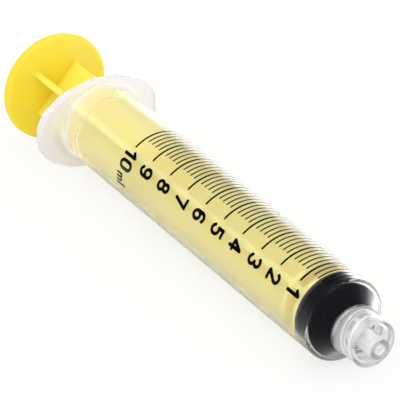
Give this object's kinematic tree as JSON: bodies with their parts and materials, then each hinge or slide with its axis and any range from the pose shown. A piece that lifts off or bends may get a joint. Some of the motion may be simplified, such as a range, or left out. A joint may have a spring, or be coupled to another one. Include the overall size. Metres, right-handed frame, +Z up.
{
  "type": "luer lock syringe",
  "caption": "Hypodermic syringe with a threaded luer lock tip, finger flange, clear barrel with a printed scale, black stopper and yellow plunger pushed in.",
  "frame": {"origin": "under the middle of the syringe, on the surface that it lies on", "axes": "+X towards the luer tip, +Y along the finger flange, +Z up; the syringe's own axis tips down 1.78 degrees towards the tip"},
  "size_m": [0.1164, 0.0262, 0.0226],
  "materials": {
    "barrel": "clear natural polypropylene, moulded",
    "stopper": "moulded rubber with a film of silicone",
    "plunger": "pigmented polypropylene, moulded"
  },
  "bodies": {
    "barrel": {"barrel": "barrel"},
    "stopper": {"plunger_stopper": "stopper"},
    "rod": {"plunger_rod": "plunger"}
  },
  "joints": [
    {"name": "plunger_slide", "type": "slide", "parent": "barrel", "child": "stopper", "axis": [-0.9995, 0, 0.031], "range_m": [0, 0.0765]},
    {"name": "plunger_spin", "type": "hinge", "parent": "stopper", "child": "rod", "pos_m": [0.04254, 0, 0.00822], "axis": [0.9995, 0, -0.031], "continuous": true}
  ]
}
